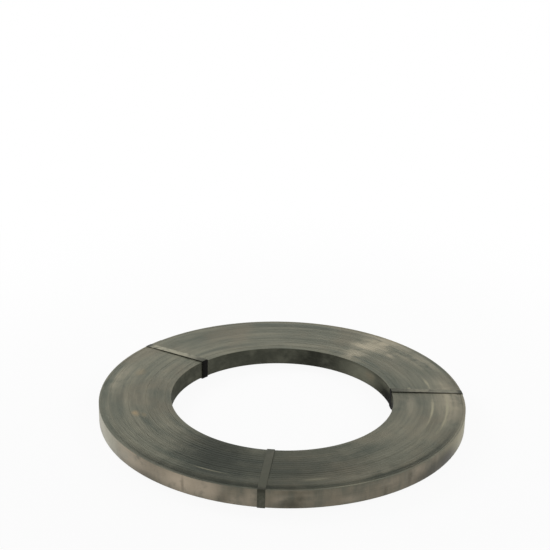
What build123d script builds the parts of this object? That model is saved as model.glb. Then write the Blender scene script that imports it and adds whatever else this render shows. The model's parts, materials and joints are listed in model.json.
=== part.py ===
from build123d import *

import os
from math import atan2, cos, degrees, radians, sin

# A ring coil of flat steel strip that lies on its side: the strip is wound turn on turn about an
# upright axis, its edges make the two ends, and three strap ties hold the turns together.
# The origin is on the axis at floor level, under the runs of the ties that the coil lies on.

# The strip, the bore that it is wound round, and how deep the winding is from the bore to the rim
strip_width = 25.0
strip_thickness = 0.9
bore_diameter = 308.0
winding_depth = 100.0

# Where the strip's outer end lies on the rim, in degrees about the axis from +X, as for the ties
tail_angle = 137.0

# Bands of turns that slipped along the axis as the strip was wound, from the bore out to the rim:
# where each starts, as a share of the winding depth, and how far down its first and its last turn
# lie, as shares of the greatest slip. The seams between bands open into V-shaped gaps.
greatest_slip = 1.2
band_shares = (
    (0.0, 0.3, 0.3),
    (0.09, 0.08, 0.14),
    (0.2, 0.22, 0.16),
    (0.36, 0.0, 0.0),
    (0.6, 0.14, 0.04),
    (0.86, 0.12, 1.0),
    (0.955, 0.5, 0.5),
)
seam_width = 1.2
seam_depth = 0.8

# The ties, each a loop of thin strap with its ends lapped and welded under the coil. They lie close
# along the bore and the rim, and bow up over the upper end.
tie_width = 10.0
tie_thickness = 0.4
tie_lap = 40.0
tie_bend_radius = 0.5
tie_bore_gap = 0.05
tie_rim_gap = 0.3
tie_end_gap = 0.5
tie_bow = 0.6
tie_bow_radius = 1200.0

# Where the middle of each tie crosses the bore, and then the rim
tie_front_angles = (-94.8, -95.2)
tie_right_angles = (8.6, 5.4)
tie_back_left_angles = (138.1, 142.9)

# How far a cutting body reaches past what it cuts, and the arc of turned strap that a tie is cut from
overrun = 4.0
tie_arc_angle = 30.0

half_turn_angle = 180.0
bore_radius = bore_diameter / 2
outer_radius = bore_radius + winding_depth
middle_radius = (bore_radius + outer_radius) / 2
coil_bottom = 2 * tie_thickness
coil_top = coil_bottom + greatest_slip + strip_width


def on_circle(radius, angle):
    return Vector(radius * cos(radians(angle)), radius * sin(radians(angle)))


def end_outline(level, inward):
    """One end of the coil from the bore to past the rim. Level is the height of the strip edges that
    haven't slipped. Inward is 1 at the lower end and -1 at the upper, the way that the seams run in."""
    starts, first_slips, last_slips = zip(*band_shares)
    first_heights = [level - share * greatest_slip for share in first_slips]
    last_heights = [level - share * greatest_slip for share in last_slips]
    points = [(bore_radius, first_heights[0])]
    for share, before, after in zip(starts[1:], last_heights, first_heights[1:]):
        seam = bore_radius + share * winding_depth
        inner_edge = max(before, after) if inward > 0 else min(before, after)
        points.append((seam - seam_width / 2, before))
        points.append((seam, inner_edge + inward * seam_depth))
        points.append((seam + seam_width / 2, after))
    points.append((outer_radius + overrun, last_heights[-1]))
    return points


def wound_coil():
    """The turned ring, with the outermost turn running out in a step where the strip was cut off."""
    lower_end = end_outline(coil_top - strip_width, 1)
    upper_end = end_outline(coil_top, -1)
    section = make_face(Polyline(*lower_end, *reversed(upper_end), close=True))
    ring = revolve(Plane.XZ * section, Axis.Z)

    # Half the rim is round about the axis. The other half is drawn in towards the turn under it.
    draw_in = strip_thickness / 2
    rim = [
        CenterArc((0, 0), outer_radius, tail_angle, half_turn_angle),
        CenterArc(
            on_circle(draw_in, tail_angle + half_turn_angle),
            outer_radius - draw_in,
            tail_angle + half_turn_angle,
            half_turn_angle,
        ),
        Line(
            on_circle(outer_radius - strip_thickness, tail_angle),
            on_circle(outer_radius, tail_angle),
        ),
    ]
    return ring & extrude(make_face(rim), amount=coil_top + overrun)


def strap_loop():
    """A strap's loop round the section of the coil, with the lap where its ends are welded."""
    lap_start = middle_radius - tie_lap / 2
    lap_end = middle_radius + tie_lap / 2
    bore_side = bore_radius - tie_bore_gap
    rim_side = outer_radius + tie_rim_gap
    top_side = coil_top + tie_end_gap
    inside = [
        (bore_side, tie_thickness),
        (lap_start, tie_thickness),
        (lap_start, coil_bottom),
        (rim_side, coil_bottom),
        (rim_side, top_side),
        (middle_radius, top_side + tie_bow),
        (bore_side, top_side),
    ]
    outside = [
        (bore_side - tie_thickness, 0),
        (lap_end, 0),
        (lap_end, tie_thickness),
        (rim_side + tie_thickness, tie_thickness),
        (rim_side + tie_thickness, top_side + tie_thickness),
        (middle_radius, top_side + tie_bow + tie_thickness),
        (bore_side - tie_thickness, top_side + tie_thickness),
    ]

    def loop(corners, bend, bow):
        return make_face(FilletPolyline(*corners, radius=[bend, 0, 0, bend, bend, bow, bend], close=True))

    outer = loop(outside, tie_bend_radius + tie_thickness, tie_bow_radius + tie_thickness)
    return outer - loop(inside, tie_bend_radius, tie_bow_radius)


def tie(bore_angle, rim_angle):
    """One strap: its loop is turned about the axis, so that it lies along the bore and the rim, and
    then cut to width along the straight line that it takes across the coil."""
    first_angle = (bore_angle + rim_angle - tie_arc_angle) / 2
    sleeve = Rot(0, 0, first_angle) * revolve(Plane.XZ * strap_loop(), Axis.Z, tie_arc_angle)
    start = on_circle(bore_radius, bore_angle)
    end = on_circle(outer_radius, rim_angle)
    run = end - start
    height = coil_top + tie_end_gap + tie_bow + tie_thickness
    cut = Box(run.length + 2 * overrun, tie_width, 2 * (height + overrun))
    return sleeve & Pos((start + end) / 2) * Rot(0, 0, degrees(atan2(run.Y, run.X))) * cut


os.makedirs("parts", exist_ok=True)
export_step(wound_coil(), "parts/coil.step")
export_step(tie(*tie_front_angles), "parts/tie_front.step")
export_step(tie(*tie_right_angles), "parts/tie_right.step")
export_step(tie(*tie_back_left_angles), "parts/tie_back_left.step")
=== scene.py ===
import json
from math import cos, pi, radians, sin, tau

import bpy
import numpy as np
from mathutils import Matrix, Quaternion, Vector


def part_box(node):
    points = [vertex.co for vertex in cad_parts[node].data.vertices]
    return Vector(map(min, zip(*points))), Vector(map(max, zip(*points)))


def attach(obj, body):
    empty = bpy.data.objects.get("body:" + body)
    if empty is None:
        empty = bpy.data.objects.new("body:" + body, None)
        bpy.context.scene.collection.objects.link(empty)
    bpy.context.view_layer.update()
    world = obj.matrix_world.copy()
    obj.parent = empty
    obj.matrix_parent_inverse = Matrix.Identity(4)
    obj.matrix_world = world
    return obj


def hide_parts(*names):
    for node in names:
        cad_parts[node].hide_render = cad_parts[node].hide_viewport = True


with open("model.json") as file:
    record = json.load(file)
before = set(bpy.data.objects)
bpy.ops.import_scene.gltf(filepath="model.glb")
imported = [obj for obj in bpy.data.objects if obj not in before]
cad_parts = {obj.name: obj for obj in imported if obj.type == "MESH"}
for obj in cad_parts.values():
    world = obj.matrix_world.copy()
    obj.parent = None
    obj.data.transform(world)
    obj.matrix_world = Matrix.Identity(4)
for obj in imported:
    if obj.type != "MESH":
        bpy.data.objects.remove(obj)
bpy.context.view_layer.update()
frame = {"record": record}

# The wound strip
# One flat steel strip, slit from rolled sheet and wound turn on turn, so that its slit edges make the two
# ends of the coil. Bands of turns slipped along the axis as it was wound, one of them deep. The strip's own
# two ends lie at the back left, the inner one under a tie and the outer one beside it.

mm_per_metre = 1000
bore_mount = next(mount for mount in frame["record"]["mounts"] if mount["kind"] == "bore")
bore_radius = bore_mount["dims"]["r_mm"] / mm_per_metre
strip_width = bore_mount["dims"]["length_mm"] / mm_per_metre
coil_low, coil_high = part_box("coil")
rim_radius = -coil_low.x
winding_depth = rim_radius - bore_radius

# A turn is the strip and the hair's breadth to the next one. Both ends of the strip lie at one angle, and
# the outer end's own pitch leaves room for one turn fewer.
turn_pitch = 0.001
strip_end_angle = radians(137)
turn_count = round(winding_depth / turn_pitch) - 1
steps_per_turn = 144

# The bands: where each starts, as a share of the winding, and how far down its first and last turns lie, as
# shares of the greatest slip. That is reached at the front, and most of it is gone at the back. A band takes
# up its slip over part of its first turn.
greatest_slip = coil_high.z - coil_low.z - strip_width
band_shares = np.array(
    (
        (0.0, 0.3, 0.3),
        (0.09, 0.08, 0.14),
        (0.2, 0.22, 0.16),
        (0.36, 0.0, 0.0),
        (0.6, 0.14, 0.04),
        (0.86, 0.12, 1.0),
        (0.955, 0.5, 0.5),
    )
)
band_starts = band_shares[:, 0] * (turn_count + 1)
band_ends = np.append(band_starts[1:], turn_count + 1)
band_run_in = 0.5
deepest_slip_angle = radians(-80)
shallowest_slip_share = 0.4

# No two turns lie quite level: the strip's edge wanders, in waves that come so many times in a turn
stagger_height = 0.00009
stagger_wave_count = 16
stagger_waves_per_turn = (0.15, 1.9)
stagger_gain = 3
stagger_seed = 11

# The grooves between turns, wider and deeper at the seams between bands and for part of a turn beside them
groove_half_width = 0.00009
groove_depth = 0.00022
seam_half_width = 0.00020
seam_depth = 0.0006
seam_turns = 0.6
strip_sharp_angle = radians(25)


def strip_angle(turn):
    """Where about the axis the strip is after that many turns. From above it runs with the clock."""
    return strip_end_angle - tau * turn


def band_slip(turn):
    """How far along the axis the strip has slipped, after that many turns."""
    knots = np.column_stack([band_starts + band_run_in, band_ends]).ravel()
    share = np.interp(turn, knots, band_shares[:, 1:].ravel())
    front = (1 + np.cos(strip_angle(turn) - deepest_slip_angle)) / 2
    swing = shallowest_slip_share + (1 - shallowest_slip_share) * front
    return (greatest_slip - stagger_height) * share * swing


def turn_stagger(turn):
    """The small wander of the strip's edge along its length, as a sum of waves."""
    dice = np.random.default_rng(stagger_seed)
    waves = dice.uniform(*stagger_waves_per_turn, stagger_wave_count)
    phases = dice.uniform(0, tau, stagger_wave_count)
    wander = np.sin(tau * np.outer(turn, waves) + phases).sum(axis=1)
    return stagger_height * np.clip(wander / stagger_wave_count * stagger_gain, -1, 1)


def spiral_row(radius, turn, height):
    """Points that follow the strip's winding."""
    angle = strip_angle(turn)
    return np.stack([radius * np.cos(angle), radius * np.sin(angle), height], axis=1)


# Rows of points along the strip: the edge's two corners, and the groove on the inner side of each turn
edge_turn = np.arange(turn_count * steps_per_turn + 1) / steps_per_turn
groove_turn = np.arange((turn_count + 1) * steps_per_turn + 1) / steps_per_turn
nearest_seam = np.abs(groove_turn[:, None] - band_starts[None, 1:]).min(axis=1)
seam = np.clip(1 - nearest_seam / seam_turns, 0, 1)
groove_mouth = groove_half_width + (seam_half_width - groove_half_width) * seam
groove_cut = groove_depth + (seam_depth - groove_depth) * seam

# A groove is cut in from the edge that lies further in, of the two turns beside it. At the bore and the rim
# there is just one turn.
upper_edge = coil_high.z - band_slip(edge_turn) + turn_stagger(edge_turn) - stagger_height
lower_edge = upper_edge - strip_width + stagger_height
no_turn = np.full(steps_per_turn, np.inf)
lower_of_two = np.minimum(np.append(no_turn, upper_edge), np.append(upper_edge, no_turn))
higher_of_two = np.maximum(np.append(-no_turn, lower_edge), np.append(lower_edge, -no_turn))
edge_radius = bore_radius + turn_pitch * edge_turn
groove_radius = bore_radius + turn_pitch * groove_turn
inner_corner = edge_radius + groove_mouth[:-steps_per_turn]
outer_corner = edge_radius + turn_pitch - groove_mouth[steps_per_turn:]

rows = [
    spiral_row(groove_radius, groove_turn, lower_of_two - groove_cut),
    spiral_row(inner_corner, edge_turn, upper_edge),
    spiral_row(outer_corner, edge_turn, upper_edge),
    spiral_row(groove_radius, groove_turn, higher_of_two + groove_cut),
    spiral_row(inner_corner, edge_turn, lower_edge),
    spiral_row(outer_corner, edge_turn, lower_edge),
]
row_starts = np.cumsum([0] + [len(row) for row in rows])
upper_groove, upper_inner, upper_outer, lower_groove, lower_inner, lower_outer = (
    np.arange(start, end) for start, end in zip(row_starts, row_starts[1:])
)

# The map of the winding, unrolled: each turn is a line across it, the two ends of the coil lie one above the
# other, and the rim, the bore wall and the strip's two cut faces have a band each
end_map_share = 0.4
rim_map_share = 0.1
bore_map_share = 0.08
rim_map_start = 2 * end_map_share
bore_map_start = rim_map_start + rim_map_share
cut_map_start = bore_map_start + bore_map_share
cut_map_share = (1 - cut_map_start) / 2
turn_map_share = end_map_share / (turn_count + 1)
groove_map_share = groove_half_width / turn_pitch
turn_levels = (0, groove_map_share, 1 - groove_map_share, 1)

# Which of the strip's finishes a face has
EDGES, RIM, BORE = 0, 1, 2
strip_faces, strip_map, strip_finishes = [], [], []


def add_ribbon(first, second, first_level, second_level, map_start, map_depth, finish):
    """Faces between two rows of points, and where they lie on the map. Levels count in turns."""
    count = len(first) - 1
    along = np.arange(count) % steps_per_turn / steps_per_turn
    turn = np.arange(count) // steps_per_turn
    ahead = along + 1 / steps_per_turn
    near = map_start + map_depth * (turn + first_level)
    far = map_start + map_depth * (turn + second_level)
    corners = ((along, near), (ahead, near), (ahead, far), (along, far))
    strip_faces.extend(np.stack([first[:-1], first[1:], second[1:], second[:-1]], axis=1).tolist())
    strip_map.append(np.stack([np.stack(corner, axis=1) for corner in corners], axis=1).reshape(-1, 2))
    strip_finishes.extend([finish] * count)


def add_cut_face(step, map_start, turned):
    """The cut face of the strip, at the step along it where the winding begins or ends."""
    next_step = step + steps_per_turn
    corners = [
        upper_groove[step],
        upper_inner[step],
        upper_outer[step],
        upper_groove[next_step],
        lower_groove[next_step],
        lower_outer[step],
        lower_inner[step],
        lower_groove[step],
    ]
    spots = [(level, 1) for level in turn_levels] + [(level, 0) for level in reversed(turn_levels)]
    order = -1 if turned else 1
    strip_faces.append([int(corner) for corner in corners[::order]])
    strip_map.append(np.array([(x, map_start + cut_map_share * y) for x, y in spots[::order]]))
    strip_finishes.append(EDGES)


upper_rows = (upper_groove[:-steps_per_turn], upper_inner, upper_outer, upper_groove[steps_per_turn:])
lower_rows = (lower_groove[:-steps_per_turn], lower_inner, lower_outer, lower_groove[steps_per_turn:])
for inner, outer, low, high in zip(upper_rows, upper_rows[1:], turn_levels, turn_levels[1:]):
    add_ribbon(inner, outer, low, high, 0, turn_map_share, EDGES)
for inner, outer, low, high in zip(lower_rows, lower_rows[1:], turn_levels, turn_levels[1:]):
    add_ribbon(outer, inner, high, low, end_map_share, turn_map_share, EDGES)

last_step = turn_count * steps_per_turn
first_turn = slice(0, steps_per_turn + 1)
last_turn = slice(last_step, None)
add_ribbon(upper_groove[last_turn], lower_groove[last_turn], 1, 0, rim_map_start, rim_map_share, RIM)
add_ribbon(lower_groove[first_turn], upper_groove[first_turn], 0, 1, bore_map_start, bore_map_share, BORE)
add_cut_face(0, cut_map_start, False)
add_cut_face(last_step, cut_map_start + cut_map_share, True)


def add_mesh(name, points, faces, sharp_angle=pi):
    """A mesh object, smooth but for the edges that turn by more than that angle."""
    mesh = bpy.data.meshes.new(name)
    mesh.from_pydata(points.tolist(), [], faces)
    mesh.shade_smooth()
    mesh.set_sharp_from_angle(angle=sharp_angle)
    piece = bpy.data.objects.new(name, mesh)
    bpy.context.scene.collection.objects.link(piece)
    return piece


wound_strip = add_mesh("wound_strip", np.concatenate(rows), strip_faces, strip_sharp_angle)
wound_strip.data.polygons.foreach_set("material_index", strip_finishes)
wound_strip.data.uv_layers.new(name="OFBake").uv.foreach_set("vector", np.concatenate(strip_map).ravel())


class Value:
    """A socket in a node tree. Sums with such values add Math nodes to the tree."""

    def __init__(self, tree, socket=None):
        self.tree = tree
        self.socket = socket

    def node(self, kind, settings, inputs, output=0):
        """Adds a node: first its settings, then the values or the links of its sockets."""
        made = self.tree.nodes.new("ShaderNode" + kind)
        for name, setting in settings.items():
            setattr(made, name, setting)
        for name, given in inputs.items():
            if isinstance(given, Value):
                self.tree.links.new(given.socket, made.inputs[name])
            else:
                made.inputs[name].default_value = given
        return Value(self.tree, made.outputs[output]) if made.outputs else None

    def math(self, operation, *operands):
        """Adds a Math node on values and numbers."""
        return self.node("Math", {"operation": operation}, dict(enumerate(operands)))

    def __add__(self, other):
        return self.math("ADD", self, other)

    def __sub__(self, other):
        return self.math("SUBTRACT", self, other)

    def __rsub__(self, other):
        return self.math("SUBTRACT", other, self)

    def __mul__(self, other):
        return self.math("MULTIPLY", self, other)

    def __truediv__(self, other):
        return self.math("DIVIDE", self, other)

    def __pow__(self, other):
        return self.math("POWER", self, other)

    __radd__ = __add__
    __rmul__ = __mul__

    def rise(self, low, high):
        """From 0 at low to 1 at high, with a soft start and end. It falls where low is over high."""
        ends = {"Value": self, "From Min": low, "From Max": high}
        return self.node("MapRange", {"interpolation_type": "SMOOTHSTEP"}, ends)

    def blend(self, without, within):
        """A colour between the two, by this value. A Mix node's sockets share their names, so these go by
        number: its factor, its two colours, and the colour that comes out."""
        return self.node("Mix", {"data_type": "RGBA"}, {0: self, 6: without, 7: within}, output=2)

    def cloud(self, fineness, detail=3.0):
        """Soft noise from 0 to 1 at this place, with about so many grains in a unit of length."""
        grains = {"Vector": self, "Scale": fineness, "Detail": detail, "Roughness": 0.55}
        return self.node("TexNoise", {}, grains)


def shade(red, green, blue):
    """A colour from its three screen values of 0 to 255."""
    screen = np.array((red, green, blue)) / 255
    light = np.where(screen > 0.04045, ((screen + 0.055) / 1.055) ** 2.4, screen / 12.92)
    return (*light.tolist(), 1.0)


class Place:
    """Where a spot on the coil is: its radius and angle about the axis, its height, and its direction. Its
    level is its radius on an end of the coil, and its height on a wall."""

    def __init__(self, tree, on_end=False):
        self.point = Value(tree).node("TexCoord", {}, {}, "Object")
        x, y, self.height = (self.point.node("SeparateXYZ", {}, {"Vector": self.point}, n) for n in "XYZ")
        self.radius = (x * x + y * y) ** 0.5
        self.angle = y.math("ARCTAN2", y, x)
        self.across = x / self.radius
        self.ahead = y / self.radius
        self.level = self.radius if on_end else self.height

    def drawn_out(self, along, depth, detail=3.0):
        """Noise drawn out along the turns, with about so many grains in a radian, each of that depth."""
        spot = {"X": self.across * along, "Y": self.ahead * along, "Z": self.level / depth}
        return self.point.node("CombineXYZ", {}, spot).cloud(1.0, detail)

    def mark(self, middle, half_depth, angle, half_arc, ragged=0.0):
        """1 in the middle of a mark and 0 outside it. Its middle is a level, and angles are in degrees."""
        out = (self.level - middle) / half_depth
        turn = self.angle.math("WRAP", self.angle - radians(angle), pi, -pi) / radians(half_arc)
        return 1 - ((out * out + turn * turn) ** 0.5 + ragged).rise(0.0, 1.0)

    def marks(self, table, ragged):
        """The marks of a table, laid over each other. A row has the middle of a mark, half its depth, its
        angle, half its arc, and its strength."""
        bare = 1.0
        for *spot, strength in table:
            bare = bare * (1 - strength * self.mark(*spot, ragged))
        return 1 - bare


def new_finish(name, on_end=False):
    """A material that is still bare, and where a spot on it is."""
    material = bpy.data.materials.new(name)
    material.use_nodes = True
    material.node_tree.nodes.clear()
    return material, Place(material.node_tree, on_end)


def surface(place, looks, relief):
    """The metal's shader, with fine relief."""
    normal = place.point.node("Bump", {}, relief)
    steel = place.point.node("BsdfPrincipled", {}, {**looks, "Normal": normal})
    place.point.node("OutputMaterial", {}, {"Surface": steel})


# The slit edges are a dull olive grey that changes a little from turn to turn. Shade is painted on them at
# the front, with a painted dark reflection of a neighbouring coil at the front left, and painted shade with
# dirt darkens the set-down band near the rim. Dust lies on them at the back right, painted sheen lightens
# the sides, and they were scuffed on the right, with a painted highlight on the lip at the rim.
edge_dark = shade(84, 89, 77)
edge_light = shade(128, 126, 109)
edge_brown = shade(124, 113, 94)
# The dark that is laid on as painted shade
edge_painted_shade = shade(38, 43, 35)
edge_dust_and_sheen = shade(178, 169, 147)
edge_scuff_and_highlight = shade(160, 155, 131)
edge_rust = shade(152, 134, 102)


def slit_edge_finish():
    finish, place = new_finish("slit_edges", on_end=True)
    start_share = place.angle.math("FRACT", (strip_end_angle - place.angle) / tau)
    whole_turns = place.radius.math("FLOOR", (place.radius - bore_radius) / turn_pitch - start_share)
    strip_place = whole_turns + start_share
    turn_tone = strip_place.node("TexNoise", {"noise_dimensions": "1D"}, {"W": strip_place, "Scale": 0.8})
    streaks = place.drawn_out(along=1.5, depth=0.009)
    fine_streaks = place.drawn_out(along=5.0, depth=0.0018)
    bands = place.drawn_out(along=2.0, depth=0.004)
    smears = place.drawn_out(along=1.7, depth=0.018)
    patches = place.point.cloud(fineness=13)
    blotches = place.point.cloud(fineness=55, detail=4.0)
    grain = place.point.cloud(fineness=900, detail=2.0)

    tone = turn_tone * 0.05 + streaks * 0.33 + bands * 0.11 + smears * 0.42 + blotches * 0.09
    colour = tone.rise(0.34, 0.66).blend(edge_dark, edge_light)
    colour = (patches.rise(0.45, 0.75) * 0.4).blend(colour, edge_brown)

    upper_end = place.height.rise(coil_low.z, coil_high.z)

    def marks(table, ragged):
        """Marks on the upper end alone."""
        return place.marks(table, ragged) * upper_end

    torn = (patches - 0.5) + (blotches - 0.5) * 1.2
    # Painted shade over the front, and a painted dark reflection of a neighbouring coil at the front left;
    # the last two rows darken the left a little.
    painted_shade_marks = (
        (0.204, 0.140, -92, 70, 0.71),
        (0.168, 0.062, -123, 24, 0.79),
        (0.205, 0.070, -115, 19, 0.78),
        (0.165, 0.030, -168, 30, 0.25),
        (0.210, 0.060, -157, 24, 0.16),
    )
    # The same dark over the set-down band near the rim: painted shade of its groove, and dirt.
    set_down_marks = (
        (0.2470, 0.0095, -120, 42, 0.75),
        (0.2465, 0.0070, -92, 28, 0.75),
        (0.2456, 0.0052, -45, 50, 0.65),
    )
    # Dust at the back right. The rows at the right, the front right and the left are painted sheen, where
    # the sides of the end catch more light.
    dust_and_sheen_marks = (
        (0.170, 0.032, 53, 9, 0.9),
        (0.205, 0.032, 55, 9, 0.8),
        (0.236, 0.045, 50, 15, 1.0),
        (0.232, 0.022, 33, 14, 0.5),
        (0.211, 0.010, 41, 4, 0.6),
        (0.236, 0.036, -2, 30, 0.62),
        (0.172, 0.020, -3, 18, 0.35),
        (0.234, 0.018, -62, 24, 0.2),
        (0.235, 0.030, -189, 16, 0.45),
    )
    # Scuffs and scratches. The last row is a painted highlight on the raised lip at the rim.
    scuff_and_highlight_marks = (
        (0.2083, 0.0030, -11, 19, 0.95),
        (0.2108, 0.0030, 13, 7, 0.7),
        (0.2283, 0.0028, -10, 25, 0.85),
        (0.2270, 0.0020, -114, 9, 0.5),
        (0.2360, 0.0120, -6, 2, 0.3),
        (0.2305, 0.0024, 11, 4, 0.35),
        (0.1815, 0.0032, 10, 1.1, 0.7),
        (0.2295, 0.0060, -78, 8, 0.3),
        (0.2510, 0.0030, -70, 14, 0.35),
    )
    hairline_marks = ((0.222, 0.030, -18, 34, 0.5), (0.205, 0.050, -165, 50, 0.3))
    rust_marks = (
        (0.2080, 0.0085, -162, 3.6, 0.9),
        (0.1980, 0.0060, -160, 3.0, 0.3),
        (0.2120, 0.0100, -196, 4.0, 0.3),
    )
    painted_shade = marks(painted_shade_marks, torn * 0.28)
    colour = painted_shade.blend(colour, edge_painted_shade)
    colour = marks(set_down_marks, torn * 0.25).blend(colour, edge_painted_shade)
    dust_and_painted_light = marks(dust_and_sheen_marks, torn * 0.8) * (blotches * 0.5 + smears * 0.5).rise(0.36, 0.58)
    colour = dust_and_painted_light.blend(colour, edge_dust_and_sheen)
    scuffs_and_highlight = marks(scuff_and_highlight_marks, (fine_streaks - 0.5) * 1.2 + torn * 0.6)
    hairlines = fine_streaks.rise(0.56, 0.7) * marks(hairline_marks, torn)
    colour = (scuffs_and_highlight + hairlines).blend(colour, edge_scuff_and_highlight)
    colour = marks(rust_marks, torn).blend(colour, edge_rust)

    roughness = 0.38 + streaks * 0.12 + painted_shade * 0.05
    relief = {"Height": fine_streaks + grain * 0.5, "Strength": 0.1, "Distance": 0.0002}
    surface(place, {"Base Color": colour, "Metallic": 0.8, "Roughness": roughness}, relief)
    return finish


def rolling_lines(place):
    """What rolling left along the strip's flat faces: soft lines, and bright hairlines."""
    lines = place.drawn_out(along=4.0, depth=0.00111)
    hairlines = place.drawn_out(along=3.0, depth=0.000385).rise(0.56, 0.7)
    return lines, hairlines


# The strip's flat face shows on the rim: smooth rolled steel, with a painted sheen that makes it paler to
# the left and pale olive at the right end, a brown bloom and a few dark touches.
rim_grey = shade(98, 97, 86)
rim_warm = shade(120, 113, 98)
rim_bloom = shade(174, 161, 142)
rim_pale = shade(174, 171, 154)
rim_olive = shade(142, 136, 104)
rim_touch = shade(62, 59, 48)


def rim_finish():
    finish, place = new_finish("rim_face")
    lines, hairlines = rolling_lines(place)
    patches = place.drawn_out(along=5.0, depth=0.0333)
    blotches = place.drawn_out(along=14.0, depth=0.0167, detail=4.0)
    stripes = place.drawn_out(along=45.0, depth=0.04)
    specks = place.point.cloud(fineness=600, detail=2.0).rise(0.64, 0.74)
    torn = (patches - 0.5) * 0.6 + (blotches - 0.5) * 0.7

    # Painted sheen at both ends of the rim, where it turns aside and reflects more of the white surroundings
    pale_sheen_marks = ((0.014, 0.050, -159, 26, 0.95),)
    olive_sheen_marks = ((0.016, 0.040, -15, 27, 0.82),)
    bloom_marks = (
        (0.018, 0.036, -119, 15, 0.95),
        (0.020, 0.032, -137, 16, 0.7),
        (0.006, 0.014, -102, 7, 0.45),
        (0.014, 0.018, -98, 3, 0.35),
        (0.014, 0.024, -110, 6, 0.5),
        (0.013, 0.009, -90, 4, 0.3),
        (0.019, 0.009, -57, 6, 0.25),
        (0.008, 0.009, -70, 5, 0.3),
        (0.017, 0.020, -47, 7, 0.35),
        (0.016, 0.022, -21, 6, 0.12),
    )
    touch_marks = (
        (0.008, 0.012, -106, 3, 0.35),
        (0.003, 0.010, -132, 9, 0.4),
        (0.014, 0.020, -118.7, 0.8, 0.4),
        (0.006, 0.013, -87, 5, 0.6),
        (0.015, 0.012, -84.5, 3, 0.45),
        (0.024, 0.006, -86, 11, 0.35),
        (0.006, 0.014, -58.8, 1.0, 0.5),
        (0.014, 0.020, -50.0, 1.4, 0.4),
        (0.005, 0.018, -42, 12, 0.85),
        (0.007, 0.021, -32, 11, 0.95),
        (0.018, 0.012, -39, 2.5, 0.35),
    )
    tone = patches * 0.3 + blotches * 0.45 + stripes * 0.25
    colour = tone.rise(0.38, 0.62).blend(rim_grey, rim_warm)
    colour = place.marks(pale_sheen_marks, torn).blend(colour, rim_pale)
    colour = place.marks(olive_sheen_marks, torn).blend(colour, rim_olive)
    colour = (place.marks(bloom_marks, torn) * blotches.rise(0.2, 0.55)).blend(colour, rim_bloom)
    colour = (hairlines * 0.14).blend(colour, rim_pale)
    colour = (place.marks(touch_marks, torn) + specks * 0.25).blend(colour, rim_touch)

    roughness = 0.34 + lines * 0.1 + blotches * 0.12
    relief = {"Height": lines, "Strength": 0.08, "Distance": 0.0001}
    surface(place, {"Base Color": colour, "Metallic": 0.85, "Roughness": roughness}, relief)
    return finish


# Its other face is the wall of the bore: dark, with painted shade at its foot by the right tie, low at the
# back right and along its top, and paler in places, one of them painted light.
bore_grey = shade(70, 71, 62)
bore_dark = shade(17, 17, 15)
bore_pale = shade(122, 122, 107)
bore_brown = shade(134, 124, 104)
bore_glint = (0.3, 0.3, 0.3, 1.0)


def bore_finish():
    finish, place = new_finish("bore_face")
    lines, hairlines = rolling_lines(place)
    patches = place.drawn_out(along=5.0, depth=0.025)
    blotches = place.drawn_out(along=12.0, depth=0.0111, detail=4.0)
    torn = (patches - 0.5) * 0.8 + (blotches - 0.5) * 0.8

    # Painted shade: at the foot of the wall by the right tie, low at the back right, and along the top edge
    painted_shade_marks = (
        (-0.003, 0.031, 6, 32, 1.0),
        (0.008, 0.050, 72, 19, 0.45),
        (0.0262, 0.0050, 40, 50, 0.3),
    )
    # Paler patches. The second lifts the wall by the right tie out of its shade, as painted light.
    pale_and_lit_marks = ((0.014, 0.040, 41, 21, 0.95), (0.023, 0.009, 18, 13, 0.4))
    brown_marks = ((0.017, 0.010, 35, 6, 0.5),)
    tone = patches * 0.5 + blotches * 0.5
    colour = (tone.rise(0.4, 0.7) * 0.35).blend(bore_grey, bore_pale)
    colour = (place.marks(pale_and_lit_marks, torn) + hairlines * 0.12).blend(colour, bore_pale)
    colour = place.marks(brown_marks, torn).blend(colour, bore_brown)
    colour = place.marks(painted_shade_marks, torn).blend(colour, bore_dark)

    looks = {
        "Base Color": colour,
        "Metallic": 0.7,
        "Roughness": 0.5 + lines * 0.15,
        "Specular IOR Level": 0.15,
        "Specular Tint": bore_glint,
    }
    surface(place, looks, {"Height": lines, "Strength": 0.08, "Distance": 0.0001})
    return finish


# In the order of EDGES, RIM and BORE
for strip_finish in (slit_edge_finish, rim_finish, bore_finish):
    wound_strip.data.materials.append(strip_finish())
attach(wound_strip, "root")
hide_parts("coil")

# The ties
# Three loops of thin dark strap, passed through the bore and round the rim to keep the turns together. Each
# has its ends lapped and welded under the coil, lies close on both walls, and bows up over the upper end.

# Where the middle of each tie crosses the bore, and then the rim, in degrees
tie_angles = {"front": (-94.8, -95.2), "right": (8.6, 5.4), "back_left": (138.1, 142.9)}

# The strap, its lap and bends, how far it stands off the coil, and how fine its mesh is
tie_width = 0.010
tie_thickness = 0.0004
tie_lap = 0.040
tie_bend = 0.0007
tie_edge_round = 0.00008
tie_wall_gap = 0.00015
tie_bore_lift = 0.0009
tie_bow = 0.0006
tie_bow_power = 0.6
tie_bend_steps = 6
tie_run_steps = 12
tie_sharp_angle = radians(40)


def wall_shares(angle, radius):
    """How far round its turn the strip has come, under the two edges of a tie."""
    half_arc = tie_width / 2 / radius
    return [(strip_end_angle - radians(angle) + side * half_arc) / tau % 1 for side in (-1, 1)]


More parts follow.
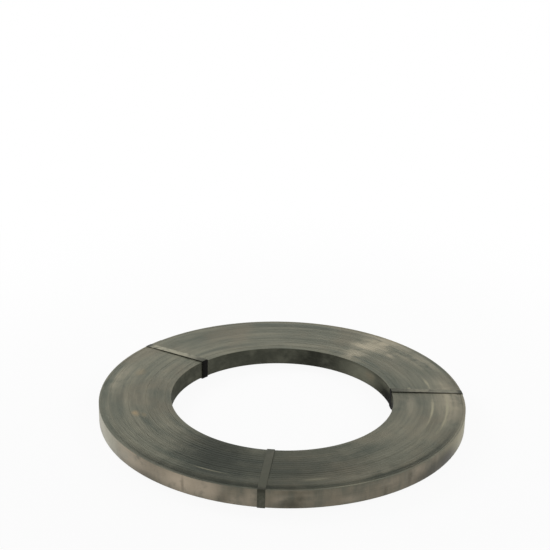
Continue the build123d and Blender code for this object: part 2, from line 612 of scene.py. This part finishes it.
def strap_line(bore_angle, rim_angle):
    """The middle of a strap's thickness, as radius and height, from one end of its lap to the other."""
    middle = (bore_radius + rim_radius) / 2
    half = tie_thickness / 2
    first_share = min(wall_shares(bore_angle, bore_radius))
    last_share = max(wall_shares(rim_angle, rim_radius))
    bore_side = bore_radius + turn_pitch * first_share - tie_wall_gap - half
    rim_side = rim_radius - turn_pitch * (1 - last_share) + tie_wall_gap + half
    bore_top, rim_top = np.interp((first_share, turn_count - 1 + last_share), edge_turn, upper_edge)
    corners = np.array(
        [
            (middle + tie_lap / 2, half),
            (bore_side, half),
            (bore_side, bore_top + tie_bore_lift + half),
            (rim_side, rim_top + tie_wall_gap + half),
            (rim_side, tie_thickness + half),
            (middle - tie_lap / 2, tie_thickness + half),
        ]
    )
    line = [corners[0]]
    for before, corner, after in zip(corners, corners[1:], corners[2:]):
        back = (before - corner) / np.linalg.norm(before - corner)
        on = (after - corner) / np.linalg.norm(after - corner)
        run_end = corner + tie_bend * back
        line.extend(np.linspace(line[-1], run_end, tie_run_steps + 1)[1:])
        for turn in np.linspace(0, pi / 2, tie_bend_steps + 1)[1:]:
            line.append(corner + tie_bend * (back * (1 - sin(turn)) + on * (1 - cos(turn))))
    line.extend(np.linspace(line[-1], corners[-1], tie_run_steps + 1)[1:])
    line = np.array(line)

    # The bow is on the run over the upper end alone
    over_end = line[:, 1] > coil_high.z / 2
    over = np.clip((line[:, 0] - bore_side) / (rim_side - bore_side), 0, 1) * over_end
    line[:, 1] += tie_bow * np.sin(pi * over) ** tie_bow_power
    return line


def on_circle(radius, angle):
    """A point in plan, by its radius and its angle in degrees."""
    return radius * np.array((cos(radians(angle)), sin(radians(angle))))


def strap_mesh(name, bore_angle, rim_angle):
    """A strap round the coil. Its middle is straight across the coil from the bore to the rim, and it takes
    the curve of both walls."""
    line = strap_line(bore_angle, rim_angle)
    along = np.gradient(line, axis=0)
    along /= np.linalg.norm(along, axis=1)[:, None]
    outward = np.stack([-along[:, 1], along[:, 0]], axis=1)

    # Half of the strap's section, with its rounded edges, and then the other half
    half_width = tie_width / 2
    half = tie_thickness / 2
    flat = half_width - tie_edge_round
    side_flat = half - tie_edge_round
    section = [(-flat, half), (0, half), (flat, half), (half_width, side_flat), (half_width, -side_flat)]
    section = section + [(-across, -lift) for across, lift in section]

    start = on_circle(bore_radius, bore_angle)
    end = on_circle(rim_radius, rim_angle)
    run = (end - start) / np.linalg.norm(end - start)
    side = np.array((-run[1], run[0]))
    points = []
    for across, lift in section:
        radius, height = (line + lift * outward).T
        foot = start @ side + across
        plan = np.sqrt(radius**2 - foot**2)[:, None] * run + foot * side
        points.append(np.column_stack([plan, height]))
    points = np.stack(points, axis=1)

    length, sides = points.shape[:2]
    index = np.arange(length * sides).reshape(length, sides)
    beside = np.roll(index, -1, axis=1)
    faces = np.stack([index[:-1], beside[:-1], beside[1:], index[1:]], axis=-1).reshape(-1, 4).tolist()
    faces.append(index[0, ::-1].tolist())
    faces.append(index[-1].tolist())
    return add_mesh(name, points.reshape(-1, 3), faces, tie_sharp_angle)


tie_dark = shade(72, 73, 63)
tie_worn = shade(96, 94, 84)
tie_painted_shade = shade(20, 20, 18)
tie_grime_and_shade = shade(74, 75, 64)
tie_dust_and_light = shade(122, 120, 105)
tie_pale_dust_and_sheen = shade(150, 147, 129)

# Dust lies on what faces up, but not on the shoulders over the bore and the rim; the tops are also
# painted lighter, as painted light. The front tie is grimy and painted darker as shade, and the one at
# the back left pale with dust and painted sheen. The bend over the rim is painted dark, as shade.
upward_dust_and_light = (0.988, 0.998)
dust_and_light_from_bore = 0.040
dust_and_light_from_rim = (0.003, 0.010)
tie_tint_half_arc = 40
grime_and_shade_angle = -95
pale_angle = 141
bend_shade_reach = 0.010


def strap_finish():
    finish, place = new_finish("strap")
    patches = place.point.cloud(fineness=40)
    blotches = place.point.cloud(fineness=110)
    specks = place.point.cloud(fineness=260, detail=4.0)
    wear = (patches * 0.6 + specks * 0.4).rise(0.42, 0.68)
    colour = (wear * 0.7).blend(tie_dark, tie_worn)
    # The run through the bore is painted near black: painted shade.
    in_bore = place.radius.rise(bore_radius + turn_pitch, bore_radius)
    colour = in_bore.blend(colour, tie_painted_shade)

    normal = place.point.node("NewGeometry", {}, {}, "Normal")
    upward = normal.node("SeparateXYZ", {}, {"Vector": normal}, "Z").rise(*upward_dust_and_light)
    past_bore = place.radius.rise(bore_radius, bore_radius + dust_and_light_from_bore)
    short_of_rim = (rim_radius - place.radius).rise(*dust_and_light_from_rim)
    # Lighter on the tops: dust, and painted light.
    dusty_and_lit = upward * past_bore * short_of_rim * (blotches * 0.6 + specks * 0.4).rise(0.25, 0.58)
    # Painted shade on the front tie with its grime, and painted sheen on the back-left one with its dust.
    grimy_and_shaded = place.mark(coil_high.z, coil_high.z, grime_and_shade_angle, tie_tint_half_arc)
    pale = place.mark(coil_high.z, coil_high.z, pale_angle, tie_tint_half_arc)
    dust_and_painted_light = pale.blend((grimy_and_shaded * 0.95).blend(tie_dust_and_light, tie_grime_and_shade), tie_pale_dust_and_sheen)
    colour = dusty_and_lit.blend(colour, dust_and_painted_light)

    # The bend over the rim is painted darker: painted shade.
    out = place.radius - rim_radius
    up = place.height - coil_high.z
    from_bend = (out * out + up * up) ** 0.5
    colour = (from_bend.rise(bend_shade_reach, 0.0) * 0.4).blend(colour, tie_painted_shade)

    looks = {
        "Base Color": colour,
        "Metallic": 0.8 - in_bore * 0.8,
        "Roughness": 0.4 + patches * 0.2 + in_bore * 0.4,
        "Specular IOR Level": 0.12,
    }
    surface(place, looks, {"Height": specks, "Strength": 0.15, "Distance": 0.0001})
    return finish


tie_steel = strap_finish()
for tie_place, angles in tie_angles.items():
    strap = strap_mesh("strap_" + tie_place, *angles)
    strap.data.materials.append(tie_steel)
    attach(strap, "root")
    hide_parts("tie_" + tie_place)

# The floor and the surroundings
# A plain white studio floor and backdrop. They show white to the camera and in the metal, and the floor
# keeps a faint shadow round the coil.

floor_half_side = 8.0
floor_colour = (0.8, 0.8, 0.8, 1.0)
shadow_share = 0.08
shadow_inner_radius = 0.35
shadow_outer_radius = 0.9
ambient_light = 0.5
white = (1.0, 1.0, 1.0, 1.0)


def seen_rays(start):
    """1 for rays that show the surroundings, by eye, in gloss or through glass, and 0 for the rest."""
    kinds = ("Is Camera Ray", "Is Glossy Ray", "Is Transmission Ray")
    camera, glossy, through = (start.node("LightPath", {}, {}, kind) for kind in kinds)
    return camera.math("MINIMUM", camera + glossy + through, 1.0)


floor_corners = np.array([(-1, -1, 0), (1, -1, 0), (1, 1, 0), (-1, 1, 0)]) * floor_half_side
floor = add_mesh("floor", floor_corners, [[0, 1, 2, 3]])
paper, paper_place = new_finish("studio_paper")
paper_point = paper_place.point
paper_glow = paper_point.node("Emission", {}, {"Color": white, "Strength": 1.0})
paper_matt = paper_point.node("BsdfDiffuse", {}, {"Color": floor_colour})
near_coil = paper_place.radius.rise(shadow_outer_radius, shadow_inner_radius)
glow_share = seen_rays(paper_point) * (1 - shadow_share * near_coil)
paper_mix = paper_point.node("MixShader", {}, {"Fac": glow_share, 1: paper_matt, 2: paper_glow})
paper_point.node("OutputMaterial", {}, {"Surface": paper_mix})
floor.data.materials.append(paper)

world = bpy.data.worlds.new("studio")
world.use_nodes = True
world.node_tree.nodes.clear()
bpy.context.scene.world = world
sky = Value(world.node_tree)
sky_ambient = sky.node("Background", {}, {"Color": white, "Strength": ambient_light})
sky_white = sky.node("Background", {}, {"Color": white, "Strength": 1.0})
sky_mix = sky.node("MixShader", {}, {"Fac": seen_rays(sky), 1: sky_ambient, 2: sky_white})
sky.node("OutputWorld", {}, {"Surface": sky_mix})

# The lamps
# Soft boxes: the key from the back left, which throws the ties' shadows, and a fill from the right. Both are
# aimed at the floor in the middle of the coil.

lamp_table = {
    "key": {"angle": 140, "climb": 33, "distance": 1.7, "side": 0.6, "power": 10},
    "right": {"angle": 20, "climb": 32, "distance": 1.5, "side": 0.9, "power": 6},
}


def aimed(place, target):
    """The turn that points a lamp or a camera from its place at a target, with its top up."""
    return (Vector(target) - Vector(place)).to_track_quat("-Z", "Y")


for lamp_name, lamp in lamp_table.items():
    light = bpy.data.lights.new(lamp_name, "AREA")
    light.size = lamp["side"]
    light.energy = lamp["power"]
    angle = radians(lamp["angle"])
    climb = radians(lamp["climb"])
    box = bpy.data.objects.new(lamp_name, light)
    box.location = lamp["distance"] * Vector((cos(angle) * cos(climb), sin(angle) * cos(climb), sin(climb)))
    box.rotation_mode = "QUATERNION"
    box.rotation_quaternion = aimed(box.location, (0, 0, 0))
    bpy.context.scene.collection.objects.link(box)

# The camera
# It stands in front of the coil and looks down on it over its upper end, with a slight roll. Its distance
# and climb, and the spot that it is aimed at, are taken from a base point on the coil's axis.

camera_lens = 88.27
camera_sensor = 36.0
camera_base_height = 0.0016
camera_distance = 1.8967
camera_climb = radians(27.734)
camera_aim_across = -0.01407
camera_aim_height = 0.20551
camera_roll = radians(1.256)

camera_data = bpy.data.cameras.new("camera")
camera_data.lens = camera_lens
camera_data.sensor_width = camera_sensor
camera = bpy.data.objects.new("camera", camera_data)
camera.location = (
    0,
    -camera_distance * cos(camera_climb),
    camera_distance * sin(camera_climb) + camera_base_height,
)
camera_target = (camera_aim_across, 0, camera_aim_height + camera_base_height)
camera.rotation_mode = "QUATERNION"
camera.rotation_quaternion = aimed(camera.location, camera_target) @ Quaternion((0, 0, 1), camera_roll)
bpy.context.scene.collection.objects.link(camera)
bpy.context.scene.camera = camera
bpy.context.scene.view_settings.view_transform = "Standard"
